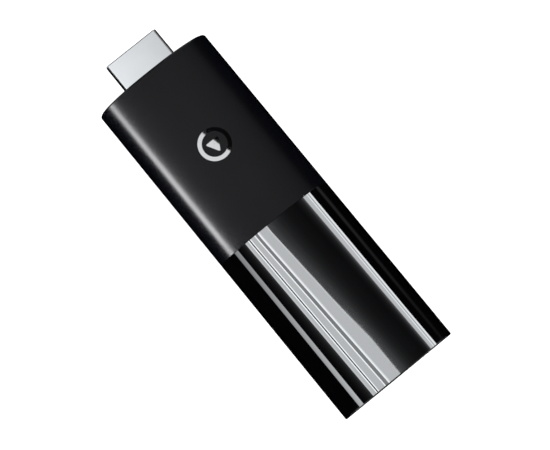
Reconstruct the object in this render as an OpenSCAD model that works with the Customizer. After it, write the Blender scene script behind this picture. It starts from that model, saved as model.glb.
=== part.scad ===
// Streaming media player stick: a two-tone oval body with a video plug at one end
// and a power socket at the other. Millimetres, +Z up, lying on its flat underside.
// +X runs from the plug to the tail. The origin is below the middle of the whole stick.

/* [Body] */
// Length of the body without the plug
body_l = 85.9; // [84:0.1:88]
// Width of the body
body_w = 29.6; // [29.4:0.1:30.4]
// Thickness of the body
body_t = 15; // [14.8:0.1:15.4]
// Length of the matt front housing
front_l = 42.8; // [41:0.1:44]
// Wall thickness of the two sleeves
wall = 1.3; // [1.2:0.05:1.4]
// Thickness of the wall behind the plug
nose_wall = 1.6; // [1.4:0.1:1.8]
// Radius of the body's rounded sides
side_r = 6; // [5.6:0.1:6.2]
// Width of the flat band along the top and the underside
flat_w = 4; // [3:0.5:5]
// Rounding of the nose edge
nose_r = 0.4; // [0.3:0.1:1.2]

/* [Plug] */
// Width of the video plug's shell
plug_w = 13.9; // [13.8:0.05:14]
// Height of the video plug's shell
plug_h = 4.45; // [4.4:0.05:4.5]
// How far the plug stands out of the nose
plug_out = 7.8; // [7.5:0.1:9]
// Sheet thickness of the plug's shell
plug_sheet = 0.3; // [0.25:0.05:0.35]

/* [Power socket] */
// Width of the socket's shell
socket_w = 7.5; // [7.4:0.05:7.6]
// Height of the socket's shell
socket_h = 2.45; // [2.4:0.05:2.5]
// Length of the socket's shell
socket_l = 5.6; // [5.3:0.1:5.8]
// How deep the socket's mouth sits behind the tail face
socket_recess = 0.85; // [0.7:0.05:1]

/* [Electronics] */
// Width of the circuit board
board_w = 22.8; // [22.4:0.1:22.8]
// Thickness of the circuit board
board_t = 1; // [0.8:0.1:1]
// Height of the screening cans on the board
can_h = 1.6; // [1.5:0.1:1.7]
// Thickness of the thermal pads
pad_t = 1; // [0.8:0.1:1.2]
// Thickness of the aluminium heat spreaders
spreader_t = 0.8; // [0.6:0.1:0.9]

/* [Mark] */
// Diameter of the ring-shaped mark
mark_d = 7.6; // [6:0.2:8]
// Depth of the inlaid mark
mark_depth = 0.25; // [0.2:0.05:0.35]

/* [Hidden] */
$fn = 96;

// Places along X and Z
total_l = body_l + plug_out;
tip_x = -total_l / 2;
nose_x = tip_x + plug_out;
split_x = nose_x + front_l;
tail_x = total_l / 2;
mid_z = body_t / 2;

// Oval section: a flat band, a large arc and a small side arc, all tangent
half_w = body_w / 2;
half_t = body_t / 2;
flat_half = flat_w / 2;
side_y = half_w - side_r;                  // centre of the side arc
crown_y = half_w - flat_half;              // half width beyond the flat band
crown_r = (crown_y * crown_y + half_t * half_t - 2 * crown_y * side_r)
          / (2 * (half_t - side_r));       // radius of the large arc

// Casing fits
gap = 0.05;                                // between parts that snap together
tongue_l = 4;                              // rear cover's tongue inside the front housing
tongue_t = 0.9;
tongue_root = 1.5;                         // the tongue's hold inside its own sleeve
ridge_w = 0.9;                             // snap ridges, along X
ridge_h = 0.3;
ridge_l = 6;
ridge_y = 5;
cap_t = 1.6;
cap_x = tail_x - 0.15;                     // tail cap's outer face, just below the rim
cap_back_x = cap_x - cap_t;
rim_t = 0.8;                               // rear cover's rim around the tail cap
skirt_l = 3.5;
skirt_t = 0.9;

// The mark
mark_x = nose_x + 21.8;
mark_y = 0.6;
mark_ring = 1;
mark_triangle = 2.1;                       // centre to corner

// Video plug
plug_bottom_w = 10.4;
plug_knee = -0.35;                         // height where the sides turn inward
plug_corner = 0.55;
plug_back_x = nose_x + 7.15;
mouth_x = tip_x + 0.5;                     // insulator's front face
cavity_w = 11.2;
cavity_h = 1.9;
cavity_l = 9.5;
contact_w = 0.4;
contact_t = 0.2;
contact_pitch = 1;
contact_clear = 0.05;
tab_l = 0.8;                               // plug shell's solder tabs
tab_xs = [plug_back_x + 0.4, plug_back_x + 2.2];
tab_y = plug_w / 2 - plug_sheet / 2;

// Power socket
socket_bottom_w = 5.5;
socket_knee = 0;
socket_corner = 0.5;
socket_sheet = 0.3;
socket_x1 = tail_x - socket_recess;
socket_x0 = socket_x1 - socket_l;
tongue_half = 1.9;
pin_pitch = 0.65;
pin_w = 0.28;
pin_t = 0.15;

// Circuit board
board_x0 = plug_back_x + 0.6;
board_x1 = 44;
board_top = mid_z + board_t / 2;
board_bottom = mid_z - board_t / 2;
notch_x = socket_x0 - 0.5;
screw_xs = [-24.4, 14.7];
screw_y = 9;
screw_r = 0.6;
screw_clear_r = 0.9;
screw_head_r = 1.4;
screw_head_h = 0.7;
shank_l = 3.1;

// Inner frame
frame_inset = wall + 1.1;
frame_x0 = nose_x + nose_wall + 1.7;
frame_x1 = 40.8;
ledge_half = 10.3;                         // inner edge of the ledges under the board
slot_half = board_w / 2 + 0.1;
collar_h = 4.5;                            // half height of the collar around the plug
rail_low = mid_z - 2.4;
rail_high = mid_z + 2.2;
crossbar_w = 2.2;
crossbar_t = 1.4;
boss_r = 1.8;
pilot_r = screw_r + 0.03;
rib_l = 4;
hook_x = 33;
hook_l = 3;

// Cans, pads and spreaders
can_sheet = 0.2;
upper_can_x = [-21, 11.4];
upper_can_half = 7.1;
lower_can_x = [-20, 10];
lower_can_half = 8.6;
spreader_x = [-22, 12.4];
spreader_half = 8.6;
leg_y = 6.6;                               // inner edge of the upper spreader's legs
chip_t = 1;

// ---- helpers ----

// Extrudes a Y-Z outline, drawn about the mid plane, from x0 to x1
module along_x(x0, x1)
    translate([x0, 0, mid_z]) rotate([90, 0, 90]) linear_extrude(x1 - x0) children();

// Extrudes an X-Z outline across Y, centred on y
module across_y(w, y)
    translate([0, y + w / 2, 0]) rotate([90, 0, 0]) linear_extrude(w) children();

// A box between two corners
module block(low, high) translate(low) cube(high - low);

// The same thing on both sides of the middle
module both_sides()
    for (side = [0, 1])
        mirror([0, side, 0]) children();

function unit(v) = v / norm(v);

// The arc that rounds corner b between neighbours a and c
function corner_arc(a, b, c, r, n) =
    let (to_a = unit(a - b), to_c = unit(c - b),
         half = acos(to_a * to_c) / 2,
         centre = b + unit(to_a + to_c) * r / sin(half),
         first = b + to_a * r / tan(half) - centre,
         last = b + to_c * r / tan(half) - centre,
         start = atan2(first.y, first.x),
         turn = (atan2(last.y, last.x) - start + 540) % 360 - 180)
    [for (i = [0 : n]) centre + r * [cos(start + turn * i / n), sin(start + turn * i / n)]];

// A polygon's points with every corner rounded to radius r
function rounded(points, r, n = 4) =
    let (count = len(points))
    [for (i = [0 : count - 1])
        each corner_arc(points[(i + count - 1) % count], points[i], points[(i + 1) % count], r, n)];

function rectangle(w, h) = [[w / 2, h / 2], [-w / 2, h / 2], [-w / 2, -h / 2], [w / 2, -h / 2]];

// Connector outline: full width above the knee, slanting in to a narrow underside, inset by t
function keyed_outline(w, h, bottom_w, knee, t) =
    let (slope = (knee + h / 2) / ((w - bottom_w) / 2),
         slant = sqrt(1 + slope * slope),
         side = w / 2 - t,
         side_knee = knee + t * (slant - slope),
         foot = bottom_w / 2 - t * (slant - 1) / slope)
    [[side, h / 2 - t], [-side, h / 2 - t], [-side, side_knee],
     [-foot, t - h / 2], [foot, t - h / 2], [side, side_knee]];

module plug_outline(t, r)
    polygon(rounded(keyed_outline(plug_w, plug_h, plug_bottom_w, plug_knee, t), r));

module socket_outline(t, r)
    polygon(rounded(keyed_outline(socket_w, socket_h, socket_bottom_w, socket_knee, t), r, 3));

// One quarter of the body's oval, inset by t
module oval_quarter(t) {
    reach = 2 * half_w;
    seam = unit([side_y - flat_half, crown_r - half_t]) * reach;   // through both arc centres
    square([flat_half, half_t - t]);
    intersection() {
        translate([flat_half, half_t - crown_r]) circle(r = crown_r - t);
        polygon([[flat_half, 0], [side_y, 0], [side_y, 0] + seam, [flat_half, reach]]);
    }
    intersection() {
        translate([side_y, 0]) circle(r = side_r - t);
        polygon([[side_y, 0], [side_y + reach, 0], [side_y + reach, reach], [side_y, 0] + seam]);
    }
}

module oval(t = 0)
    for (flip_y = [0, 1], flip_z = [0, 1])
        mirror([flip_y, 0]) mirror([0, flip_z]) oval_quarter(t);

// A layer of the body's wall between two insets
module oval_layer(x0, x1, outer, inner)
    along_x(x0, x1) difference() {
        oval(outer);
        oval(inner);
    }

// Ridges above and below, or their grooves, between two snapped sleeves
module snap_ridges(x, outer, extra = 0) {
    reach = ridge_w / 2 + extra;
    intersection() {
        oval_layer(x - reach, x + reach, outer, wall + 0.2);
        for (y = [-ridge_y, ridge_y])
            block([x - reach, y - ridge_l / 2 - extra, 0], [x + reach, y + ridge_l / 2 + extra, body_t]);
    }
}

module tongue_ridges() snap_ridges(split_x - tongue_l / 2, wall - ridge_h + gap);
module tongue_grooves() snap_ridges(split_x - tongue_l / 2, wall - ridge_h - gap, extra = 0.15);
module skirt_ridges() snap_ridges(cap_back_x - skirt_l / 2, wall - ridge_h + gap);
module skirt_grooves() snap_ridges(cap_back_x - skirt_l / 2, wall - ridge_h - gap, extra = 0.15);

// A component on the board's top, or hanging under it
module chip(x, y, size, below = false)
    translate([x - size.x / 2, y - size.y / 2, below ? board_bottom - size.z : board_top]) cube(size);

// ---- casing ----

// The nose wall with its outer edge rounded in steps
module nose_shape() {
    steps = 4;
    slice = 0.01;
    hull() {
        for (i = [0 : steps]) {
            turn = 90 * i / steps;
            x = nose_x + nose_r * (1 - sin(turn));
            along_x(x, x + slice) oval(nose_r * (1 - cos(turn)), $fn = 32);
        }
        along_x(nose_x + nose_wall - slice, nose_x + nose_wall) oval($fn = 32);
    }
}

module mark_outline() {
    difference() {
        circle(d = mark_d);
        circle(d = mark_d - 2 * mark_ring);
    }
    polygon(rounded([for (a = [0, 120, 240]) mark_triangle * [cos(a), sin(a)]], 0.25));
}

// The mark as a thin layer of the crown
module mark_solid()
    intersection() {
        translate([mark_x, mark_y, mid_z]) linear_extrude(body_t) mark_outline();
        oval_layer(mark_x - mark_d, mark_x + mark_d, 0, mark_depth);
    }

module front_housing()
    color([0.13, 0.13, 0.14]) difference() {
        union() {
            intersection() {
                nose_shape();
                along_x(nose_x, nose_x + nose_wall) oval();
            }
            along_x(nose_x + nose_wall, split_x) oval();
        }
        along_x(nose_x + nose_wall, split_x + 1) oval(wall);
        along_x(nose_x - 1, nose_x + nose_wall + 1) plug_outline(-gap, plug_corner);
        tongue_grooves();
        mark_solid();
    }

module rear_cover()
    color([0.03, 0.03, 0.035]) difference() {
        union() {
            oval_layer(split_x, tail_x, 0, wall);
            oval_layer(split_x - tongue_l, split_x + tongue_root, wall + gap, wall + gap + tongue_t);
            oval_layer(split_x + gap, split_x + tongue_root, wall - gap, wall + 2 * gap);
            tongue_ridges();
        }
        along_x(cap_back_x, tail_x + 1) oval(rim_t);
        skirt_grooves();
    }

module tail_cap()
    color([0.03, 0.03, 0.035]) difference() {
        union() {
            along_x(cap_back_x, cap_x) oval(rim_t + gap);
            oval_layer(cap_back_x - skirt_l, cap_back_x, wall + gap, wall + gap + skirt_t);
            skirt_ridges();
        }
        along_x(cap_back_x - 1, cap_x + 1) socket_outline(-0.2, socket_corner);
        along_x(cap_x - 0.55, cap_x + 1) socket_outline(-0.7, socket_corner + 0.3);
    }

module mark_inlay() color([0.02, 0.02, 0.025]) mark_solid();

// ---- video plug ----

module plug_shell()
    color([0.78, 0.79, 0.8]) {
        along_x(tip_x, plug_back_x) difference() {
            plug_outline(0, plug_corner);
            plug_outline(plug_sheet, plug_corner - plug_sheet / 2);
        }
        both_sides() {
            block([plug_back_x - plug_sheet, tab_y - plug_sheet / 2, board_top + 0.1],
                  [tab_xs[1] + tab_l, tab_y + plug_sheet / 2, board_top + 0.9]);
            for (x = tab_xs)
                block([x, tab_y - plug_sheet / 2, board_bottom - 0.6],
                      [x + tab_l, tab_y + plug_sheet / 2, board_top + 0.9]);
        }
    }

// Side view of one upper contact, from its mouth end to its solder tail
module contact_path(t) {
    low = cavity_h / 2 - 0.1;
    bend_x = plug_back_x - 1.2;
    foot_x = plug_back_x - 0.4;
    end_x = board_x0 + 2.4;
    translate([0, mid_z])
        polygon([[mouth_x + 0.9, low], [bend_x, low], [foot_x, board_t / 2], [end_x, board_t / 2],
                 [end_x, board_t / 2 + t], [foot_x + t / 2, board_t / 2 + t],
                 [bend_x + t / 2, low + t], [mouth_x + 0.9, low + t]]);
}

// Ten contacts above the cavity and nine below it, half a pitch apart
module contact_rows(w, t)
    for (row = [0, 1])
        translate([0, 0, row * body_t]) mirror([0, 0, row])
            for (i = [0 : 9 - row])
                across_y(w, (i - (9 - row) / 2) * contact_pitch) contact_path(t);

module plug_contacts() color([0.85, 0.68, 0.32]) contact_rows(contact_w, contact_t);

module plug_insulator()
    color([0.06, 0.06, 0.065]) difference() {
        along_x(mouth_x, plug_back_x) plug_outline(plug_sheet + 0.02, plug_corner - plug_sheet / 2);
        along_x(tip_x, mouth_x + cavity_l) polygon(rounded(rectangle(cavity_w, cavity_h), 0.2));
        contact_rows(contact_w + 2 * contact_clear, contact_t + 3 * contact_clear);
    }

module plug_gasket()
    color([0.25, 0.25, 0.26])
        along_x(nose_x + nose_wall, frame_x0 - 0.2) difference() {
            polygon(rounded(rectangle(plug_w + 4, plug_h + 4), 1));
            plug_outline(-0.02, plug_corner);
        }

// ---- power socket ----

module socket_shell()
    color([0.74, 0.75, 0.76]) {
        difference() {
            along_x(socket_x0, socket_x1) difference() {
                socket_outline(0, socket_corner);
                socket_outline(socket_sheet, socket_corner / 2);
            }
            for (y = [-tongue_half, tongue_half])
                block([socket_x1 - 3.2, y - 0.45, mid_z + 0.5], [socket_x1 - 2, y + 0.45, mid_z + 2]);
        }
        both_sides()
            for (x = [socket_x0 + 0.4, socket_x0 + 2])
                block([x, socket_w / 2 - 0.1, board_top],
                      [x + 1, socket_w / 2 + 1.4, board_top + socket_sheet]);
    }

// Side view of one socket pin: along the tongue, up the back and over the board
module pin_path(t) {
    up_x = socket_x0 - 0.3;
    end_x = socket_x0 - 1.4;
    translate([0, mid_z])
        polygon([[socket_x1 - 1, 0], [up_x, 0], [up_x, board_t / 2], [end_x, board_t / 2],
                 [end_x, board_t / 2 + t], [up_x + t, board_t / 2 + t], [up_x + t, t], [socket_x1 - 1, t]]);
}

module pin_row(w, t)
    for (i = [-2 : 2])
        across_y(w, i * pin_pitch) pin_path(t);

module socket_tongue()
    color([0.05, 0.05, 0.055]) difference() {
        union() {
            along_x(socket_x0, socket_x0 + 1.2) socket_outline(socket_sheet + 0.02, socket_corner / 2);
            block([socket_x0 + 1, -tongue_half, mid_z], [socket_x1 - 0.6, tongue_half, mid_z + 0.65]);
        }
        pin_row(pin_w + 0.04, pin_t);
    }

module socket_contacts() color([0.85, 0.68, 0.32]) pin_row(pin_w, pin_t);

// ---- frame and board ----

module frame_rails()
    intersection() {
        along_x(frame_x0, frame_x1) oval(frame_inset);
        union() {
            both_sides()
                block([plug_back_x, ledge_half, rail_low], [frame_x1, half_w, rail_high]);
            block([frame_x0, -half_w, mid_z - collar_h], [plug_back_x, half_w, mid_z + collar_h]);
            for (x = [screw_xs[1] + 2.4, frame_x1 - crossbar_w - 3])
                block([x, -half_w, rail_low], [x + crossbar_w, half_w, rail_low + crossbar_t]);
        }
    }

// Ribs that locate the frame inside the two sleeves
module frame_ribs()
    both_sides()
        for (x = [-28, -8, 10, 28])
            intersection() {
                oval_layer(x, x + rib_l, wall + 0.1, frame_inset + 0.2);
                block([x, ledge_half, mid_z - 1.2], [x + rib_l, half_w, mid_z + 1.2]);
            }

module inner_frame()
    color([0.3, 0.31, 0.33]) {
        difference() {
            union() {
                frame_rails();
                frame_ribs();
                for (x = screw_xs, y = [-screw_y, screw_y])
                    translate([x, y, rail_low]) cylinder(r = boss_r, h = board_bottom - rail_low);
            }
            block([plug_back_x, -slot_half, board_bottom], [board_x1, slot_half, body_t]);
            along_x(nose_x, plug_back_x + 1) plug_outline(-gap, plug_corner);
            for (x = screw_xs, y = [-screw_y, screw_y])
                translate([x, y, rail_low + 0.4]) cylinder(r = pilot_r, h = body_t);
        }
        both_sides()
            block([hook_x, slot_half - 0.7, board_top + 0.05],
                  [hook_x + hook_l, slot_half + 0.2, board_top + 0.8]);
    }

module main_board()
    color([0.05, 0.16, 0.12]) difference() {
        block([board_x0, -board_w / 2, board_bottom], [board_x1, board_w / 2, board_top]);
        block([notch_x, -socket_w / 2 - 0.1, 0], [board_x1 + 1, socket_w / 2 + 0.1, body_t]);
        both_sides()
            for (x = tab_xs)
                block([x - 0.1, tab_y - plug_sheet / 2 - 0.1, 0],
                      [x + tab_l + 0.1, tab_y + plug_sheet / 2 + 0.1, body_t]);
        for (x = screw_xs, y = [-screw_y, screw_y])
            translate([x, y, 0]) cylinder(r = screw_clear_r, h = body_t);
    }

module screw()
    difference() {
        union() {
            cylinder(r = screw_head_r, h = screw_head_h);
            translate([0, 0, -shank_l]) cylinder(r = screw_r, h = shank_l + 0.1);
        }
        for (turn = [0, 90])
            rotate(turn) block([-0.8, -0.14, screw_head_h / 2], [0.8, 0.14, 1]);
    }

module frame_screws()
    color([0.6, 0.6, 0.62])
        for (x = screw_xs, y = [-screw_y, screw_y])
            translate([x, y, board_top + spreader_t]) screw();

// ---- electronics ----

module processor() color([0.12, 0.12, 0.13]) chip(-12, 0, [12, 12, chip_t]);

module memory_chips()
    color([0.1, 0.1, 0.11])
        for (x = [-1, 7])
            chip(x, 0, [7.4, 13, chip_t]);

module storage_chip() color([0.11, 0.11, 0.12]) chip(-12, 0, [11.5, 13, chip_t], below = true);

module radio_module() color([0.7, 0.71, 0.72]) chip(24, 0, [12, 12, 1.7]);

module power_chips()
    color([0.09, 0.09, 0.1]) {
        chip(1, 3.6, [4, 4, 0.85], below = true);
        chip(1, -3.6, [3, 3, 0.85], below = true);
        chip(33.5, 8, [3, 3, 0.85]);
    }

module power_inductors()
    color([0.22, 0.22, 0.23])
        for (y = [-4, 4]) {
            chip(34, y, [4, 4, 2]);
            for (x = [23, 29])
                chip(x, y, [4, 4, 2], below = true);
        }

module crystals()
    color([0.75, 0.73, 0.68]) {
        chip(-19.4, 5, [1.6, 2, 0.6]);
        chip(24, 8.2, [3.2, 2.5, 0.7]);
    }

module chip_capacitors()
    color([0.6, 0.5, 0.38]) {
        along = [1.6, 0.8, 0.7];
        across = [0.8, 1.6, 0.7];
        for (y = [-5 : 1.25 : 5]) chip(-26.6, y, along);
        for (y = [-5.6 : 1.4 : 5.6]) chip(6.5, y, along, below = true);
        for (x = [17.5 : 1.6 : 30]) chip(x, -8.2, across);
        for (x = [17.5 : 1.6 : 21]) chip(x, 8.2, across);
        for (x = [-27 : 1.5 : -24], y = [-3, 0, 3]) chip(x, y, across, below = true);
    }

// A bent metal strip antenna on two feet at each rear corner of the board
module antennas()
    color([0.8, 0.72, 0.5])
        both_sides() {
            block([38, 6.6, board_top + 1.8], [43, 10, board_top + 2]);
            for (x = [38, 40])
                block([x, 6.6, board_top], [x + 0.8, 6.8, board_top + 1.9]);
        }

// ---- screening and cooling ----

module upper_shield_frame()
    color([0.72, 0.73, 0.74]) difference() {
        low = [upper_can_x[0] + can_sheet, -upper_can_half + can_sheet, board_top];
        high = [upper_can_x[1] - can_sheet, upper_can_half - can_sheet, board_top + can_h - can_sheet];
        block(low, high);
        block(low + [can_sheet, can_sheet, -1], high - [can_sheet, can_sheet, can_sheet]);
        block(low + [1, 1, -1], high + [-1, -1, 1]);
    }

module upper_shield_lid()
    color([0.76, 0.77, 0.78]) difference() {
        block([upper_can_x[0], -upper_can_half, board_top + 0.3],
              [upper_can_x[1], upper_can_half, board_top + can_h]);
        block([upper_can_x[0] + can_sheet, -upper_can_half + can_sheet, 0],
              [upper_can_x[1] - can_sheet, upper_can_half - can_sheet, board_top + can_h - can_sheet]);
    }

module lower_shield_can()
    color([0.74, 0.75, 0.76]) difference() {
        block([lower_can_x[0], -lower_can_half, board_bottom - can_h],
              [lower_can_x[1], lower_can_half, board_bottom]);
        block([lower_can_x[0] + can_sheet, -lower_can_half + can_sheet, board_bottom - can_h + can_sheet],
              [lower_can_x[1] - can_sheet, lower_can_half - can_sheet, body_t]);
    }

module processor_pad()
    color([0.45, 0.6, 0.7])
        block([-17, -5, board_top + chip_t], [-7, 5, board_top + can_h - can_sheet]);

module upper_thermal_pad()
    color([0.45, 0.6, 0.7])
        block([-18, -6, board_top + can_h], [8, 6, board_top + can_h + pad_t]);

module lower_thermal_pad()
    color([0.45, 0.6, 0.7])
        block([-17, -7, board_bottom - can_h - pad_t], [7, 7, board_bottom - can_h]);

module upper_heat_spreader()
    color([0.7, 0.71, 0.73]) difference() {
        top = board_top + can_h + pad_t + spreader_t;
        foot_y = screw_y + screw_head_r;
        union() {
            block([spreader_x[0] - spreader_t, -spreader_half, top - spreader_t],
                  [spreader_x[1] + spreader_t, spreader_half, top]);
            both_sides() {
                for (x = [spreader_x[0] - spreader_t, spreader_x[1]])
                    block([x, leg_y, board_top], [x + spreader_t, spreader_half, top]);
                block([screw_xs[0] - 1.6, leg_y, board_top], [spreader_x[0], foot_y, board_top + spreader_t]);
                block([spreader_x[1], leg_y, board_top], [screw_xs[1] + 1.6, foot_y, board_top + spreader_t]);
            }
        }
        for (x = screw_xs, y = [-screw_y, screw_y])
            translate([x, y, 0]) cylinder(r = screw_clear_r, h = board_top + spreader_t + 0.01);
    }

module lower_heat_spreader()
    color([0.7, 0.71, 0.73]) {
        bottom = board_bottom - can_h - pad_t - spreader_t;
        block([spreader_x[0], -spreader_half, bottom], [spreader_x[1], spreader_half, bottom + spreader_t]);
        for (x = [spreader_x[0], spreader_x[1] - spreader_t])
            block([x, -6, bottom], [x + spreader_t, 6, board_bottom]);
    }

front_housing();
rear_cover();
tail_cap();
mark_inlay();
plug_shell();
plug_insulator();
plug_contacts();
plug_gasket();
socket_shell();
socket_tongue();
socket_contacts();
inner_frame();
main_board();
frame_screws();
processor();
memory_chips();
storage_chip();
radio_module();
power_chips();
power_inductors();
crystals();
chip_capacitors();
antennas();
upper_shield_frame();
upper_shield_lid();
lower_shield_can();
processor_pad();
upper_thermal_pad();
lower_thermal_pad();
upper_heat_spreader();
lower_heat_spreader();
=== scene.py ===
import math

import bmesh
import bpy
import numpy as np
from mathutils import Matrix, Vector


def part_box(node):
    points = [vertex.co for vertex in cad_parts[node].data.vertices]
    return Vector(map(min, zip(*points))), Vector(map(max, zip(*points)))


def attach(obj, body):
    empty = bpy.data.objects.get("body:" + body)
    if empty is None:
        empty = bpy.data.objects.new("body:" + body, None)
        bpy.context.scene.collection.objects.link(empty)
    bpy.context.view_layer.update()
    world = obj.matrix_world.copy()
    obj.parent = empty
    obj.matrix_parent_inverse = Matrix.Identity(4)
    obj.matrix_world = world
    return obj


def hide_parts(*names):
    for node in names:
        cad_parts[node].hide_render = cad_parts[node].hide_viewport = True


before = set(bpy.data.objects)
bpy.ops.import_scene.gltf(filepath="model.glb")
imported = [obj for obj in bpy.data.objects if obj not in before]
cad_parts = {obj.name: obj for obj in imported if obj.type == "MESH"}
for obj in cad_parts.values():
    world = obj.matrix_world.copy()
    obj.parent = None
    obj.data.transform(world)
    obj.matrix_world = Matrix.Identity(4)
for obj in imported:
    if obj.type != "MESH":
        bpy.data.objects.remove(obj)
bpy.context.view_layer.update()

MM = 0.001

# ---- sizes, from the frame and a few fits of the casing ----

front_low, front_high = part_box("front_housing")
rear_low, rear_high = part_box("rear_cover")
cap_low, cap_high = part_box("tail_cap")
mark_low, mark_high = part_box("mark_inlay")
plug_low, plug_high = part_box("plug_shell")
socket_low, socket_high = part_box("socket_shell")

NOSE_X = front_low.x
SPLIT_X = front_high.x
TAIL_X = rear_high.x
HALF_W = front_high.y
MID_Z = front_high.z / 2
MARK_LIFT = 0.012 * MM       # how far the mark's lacquer stands above the casing
HALF_T = MID_Z - MARK_LIFT
WALL = 1.3 * MM              # both sleeves
END_WALL = 1.6 * MM          # the nose wall and the tail cap
FLAT_HALF = 2 * MM           # half the flat band along the top
SIDE_R = 6 * MM              # radius of the section's side arc
BLEND = 3 * MM               # how far the curvature is blended on each side of a change
TONGUE_OUT = 1.35 * MM       # insets of the outer and inner faces of the rear cover's tongue,
TONGUE_IN = 2.25 * MM        # and of the cap's skirt

# ---- the oval section ----

QUARTER = 92                 # segments in a quarter of the section


def oval_quarter():
    """Points and outward normals from the top of the section to its side.

    The curvature of the flat band, crown arc and side arc is blended where they meet, as a mould is
    polished, so that reflections run smoothly across."""
    side_y = HALF_W - SIDE_R
    crown_y = HALF_W - FLAT_HALF
    crown_r = (crown_y ** 2 + HALF_T ** 2 - 2 * crown_y * SIDE_R) / (2 * (HALF_T - SIDE_R))
    crown_turn = math.atan2(side_y - FLAT_HALF, crown_r - HALF_T)
    crown_end = FLAT_HALF + crown_r * crown_turn
    length = crown_end + SIDE_R * (math.pi / 2 - crown_turn)
    steps = 4000             # places the section's points to half a micrometre
    s = (np.arange(3 * steps) + 0.5) / steps * length - length
    along = np.where(s > length, 2 * length - s, np.abs(s))
    curvature = np.where(along < FLAT_HALF, 0.0, np.where(along < crown_end, 1 / crown_r, 1 / SIDE_R))
    blend = np.hanning(int(2 * BLEND / length * steps))
    curvature = np.convolve(curvature, blend / blend.sum(), "same")[steps:2 * steps]
    turn = np.concatenate([[0], np.cumsum(curvature)]) * length / steps
    turn *= math.pi / 2 / turn[-1]
    middle = (turn[1:] + turn[:-1]) / 2
    y = np.concatenate([[0], np.cumsum(np.cos(middle))])
    drop = np.concatenate([[0], np.cumsum(np.sin(middle))])
    stretch_y, stretch_z = HALF_W / y[-1], HALF_T / drop[-1]
    at = np.linspace(0, steps, QUARTER + 1)
    points = [np.interp(at, np.arange(steps + 1), v) for v in (y * stretch_y, HALF_T - drop * stretch_z)]
    turn = np.interp(at, np.arange(steps + 1), turn)
    normals = np.stack([np.sin(turn) / stretch_y, np.cos(turn) / stretch_z], 1)
    return np.stack(points, 1), normals / np.linalg.norm(normals, axis=1)[:, None]


def full_oval():
    """The whole section, from the +Y side over the top and round, as points and normals."""
    points, normals = oval_quarter()
    whole = []
    for quarter in (points, normals):
        top_right = quarter[::-1]
        top_left = quarter[1:] * [-1, 1]
        bottom_left = top_left[::-1][1:] * [1, -1]
        bottom_right = quarter[1:-1] * [1, -1]
        lowest = [quarter[0] * [1, -1]]
        whole.append(np.concatenate([top_right, top_left, bottom_left, lowest, bottom_right]))
    return whole


OVAL, OVAL_NORMALS = full_oval()


def oval(x, inset=0.0):
    """A loop of the body's section at x, moved inward by inset."""
    loop = OVAL - OVAL_NORMALS * inset
    return np.column_stack([np.full(len(loop), x), loop[:, 0], loop[:, 1] + MID_Z])


def crown_at(y):
    """Height and outward normal (y and z) of the body's top at y."""
    points, normals = oval_quarter()
    z = np.interp(np.abs(y), points[:, 0], points[:, 1])
    ny = np.interp(np.abs(y), points[:, 0], normals[:, 0]) * np.sign(y)
    return MID_Z + z, ny, np.sqrt(1 - ny ** 2)


# ---- outlines of the connectors ----

def rounded(corners, radius, steps=8):
    """A closed outline through corners, each rounded to radius."""
    corners = np.array(corners, float)
    outline = []
    for before, corner, after in zip(np.roll(corners, 1, 0), corners, np.roll(corners, -1, 0)):
        back = (before - corner) / np.linalg.norm(before - corner)
        ahead = (after - corner) / np.linalg.norm(after - corner)
        half = math.acos(np.clip(back @ ahead, -1, 1)) / 2
        reach = radius / math.tan(half)
        centre = corner + (back + ahead) / np.linalg.norm(back + ahead) * radius / math.sin(half)
        first = corner + back * reach - centre
        last = corner + ahead * reach - centre
        sweep = math.pi - 2 * half
        for i in range(steps + 1):
            f = i / steps
            mix = (math.sin((1 - f) * sweep) * first + math.sin(f * sweep) * last) / math.sin(sweep)
            outline.append(centre + mix)
    return np.array(outline)


def keyed(width, height, bottom, knee, inset, radius):
    """A connector's outline: full width above the knee, slanting in to a narrow underside."""
    slope = (knee + height / 2) / ((width - bottom) / 2)
    slant = math.sqrt(1 + slope ** 2)
    side = width / 2 - inset
    side_knee = knee + inset * (slant - slope)
    foot = bottom / 2 - inset * (slant - 1) / slope
    low, high = inset - height / 2, height / 2 - inset
    return rounded([(side, high), (-side, high), (-side, side_knee), (-foot, low), (foot, low),
                    (side, side_knee)], radius)


PLUG_W = plug_high.y - plug_low.y
PLUG_TOP = plug_high.z - MID_Z
PLUG_H = 2 * PLUG_TOP
PLUG_FOOT = 10.4 * MM        # width of the plug's underside
PLUG_KNEE = -0.35 * MM       # height at which its sides start to slant in
PLUG_CORNER = 0.52 * MM
SHEET = 0.3 * MM             # the metal of both connectors' shells
SOCKET_W = 7.5 * MM
SOCKET_H = 2.45 * MM
SOCKET_FOOT = 5.5 * MM
SOCKET_CORNER = 0.5 * MM


def plug_outline(inset=0.0):
    return keyed(PLUG_W, PLUG_H, PLUG_FOOT, PLUG_KNEE, inset, PLUG_CORNER - inset)


def socket_outline(inset=0.0, radius=SOCKET_CORNER):
    return keyed(SOCKET_W, SOCKET_H, SOCKET_FOOT, 0, inset, radius)


def resample(outline, count):
    """A number of points spaced evenly along an outline, from where it crosses the +Y axis."""
    closed = np.vstack([outline, outline[:1]])
    steps = np.linalg.norm(np.diff(closed, axis=0), axis=1)
    s = np.concatenate([[0], np.cumsum(steps)])
    crossing = [i for i in range(len(outline))
                if closed[i, 0] > 0 and closed[i, 1] <= 0 < closed[i + 1, 1]][0]
    share = -closed[crossing, 1] / (closed[crossing + 1, 1] - closed[crossing, 1])
    start = s[crossing] + share * steps[crossing]
    at = (start + np.arange(count) / count * s[-1]) % s[-1]
    return np.stack([np.interp(at, s, closed[:, 0]), np.interp(at, s, closed[:, 1])], 1)


def loop_at(x, outline, count):
    """A connector's outline as a loop of points at x."""
    flat = resample(outline, count)
    return np.column_stack([np.full(count, x), flat[:, 0], flat[:, 1] + MID_Z])


# ---- meshes ----

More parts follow.
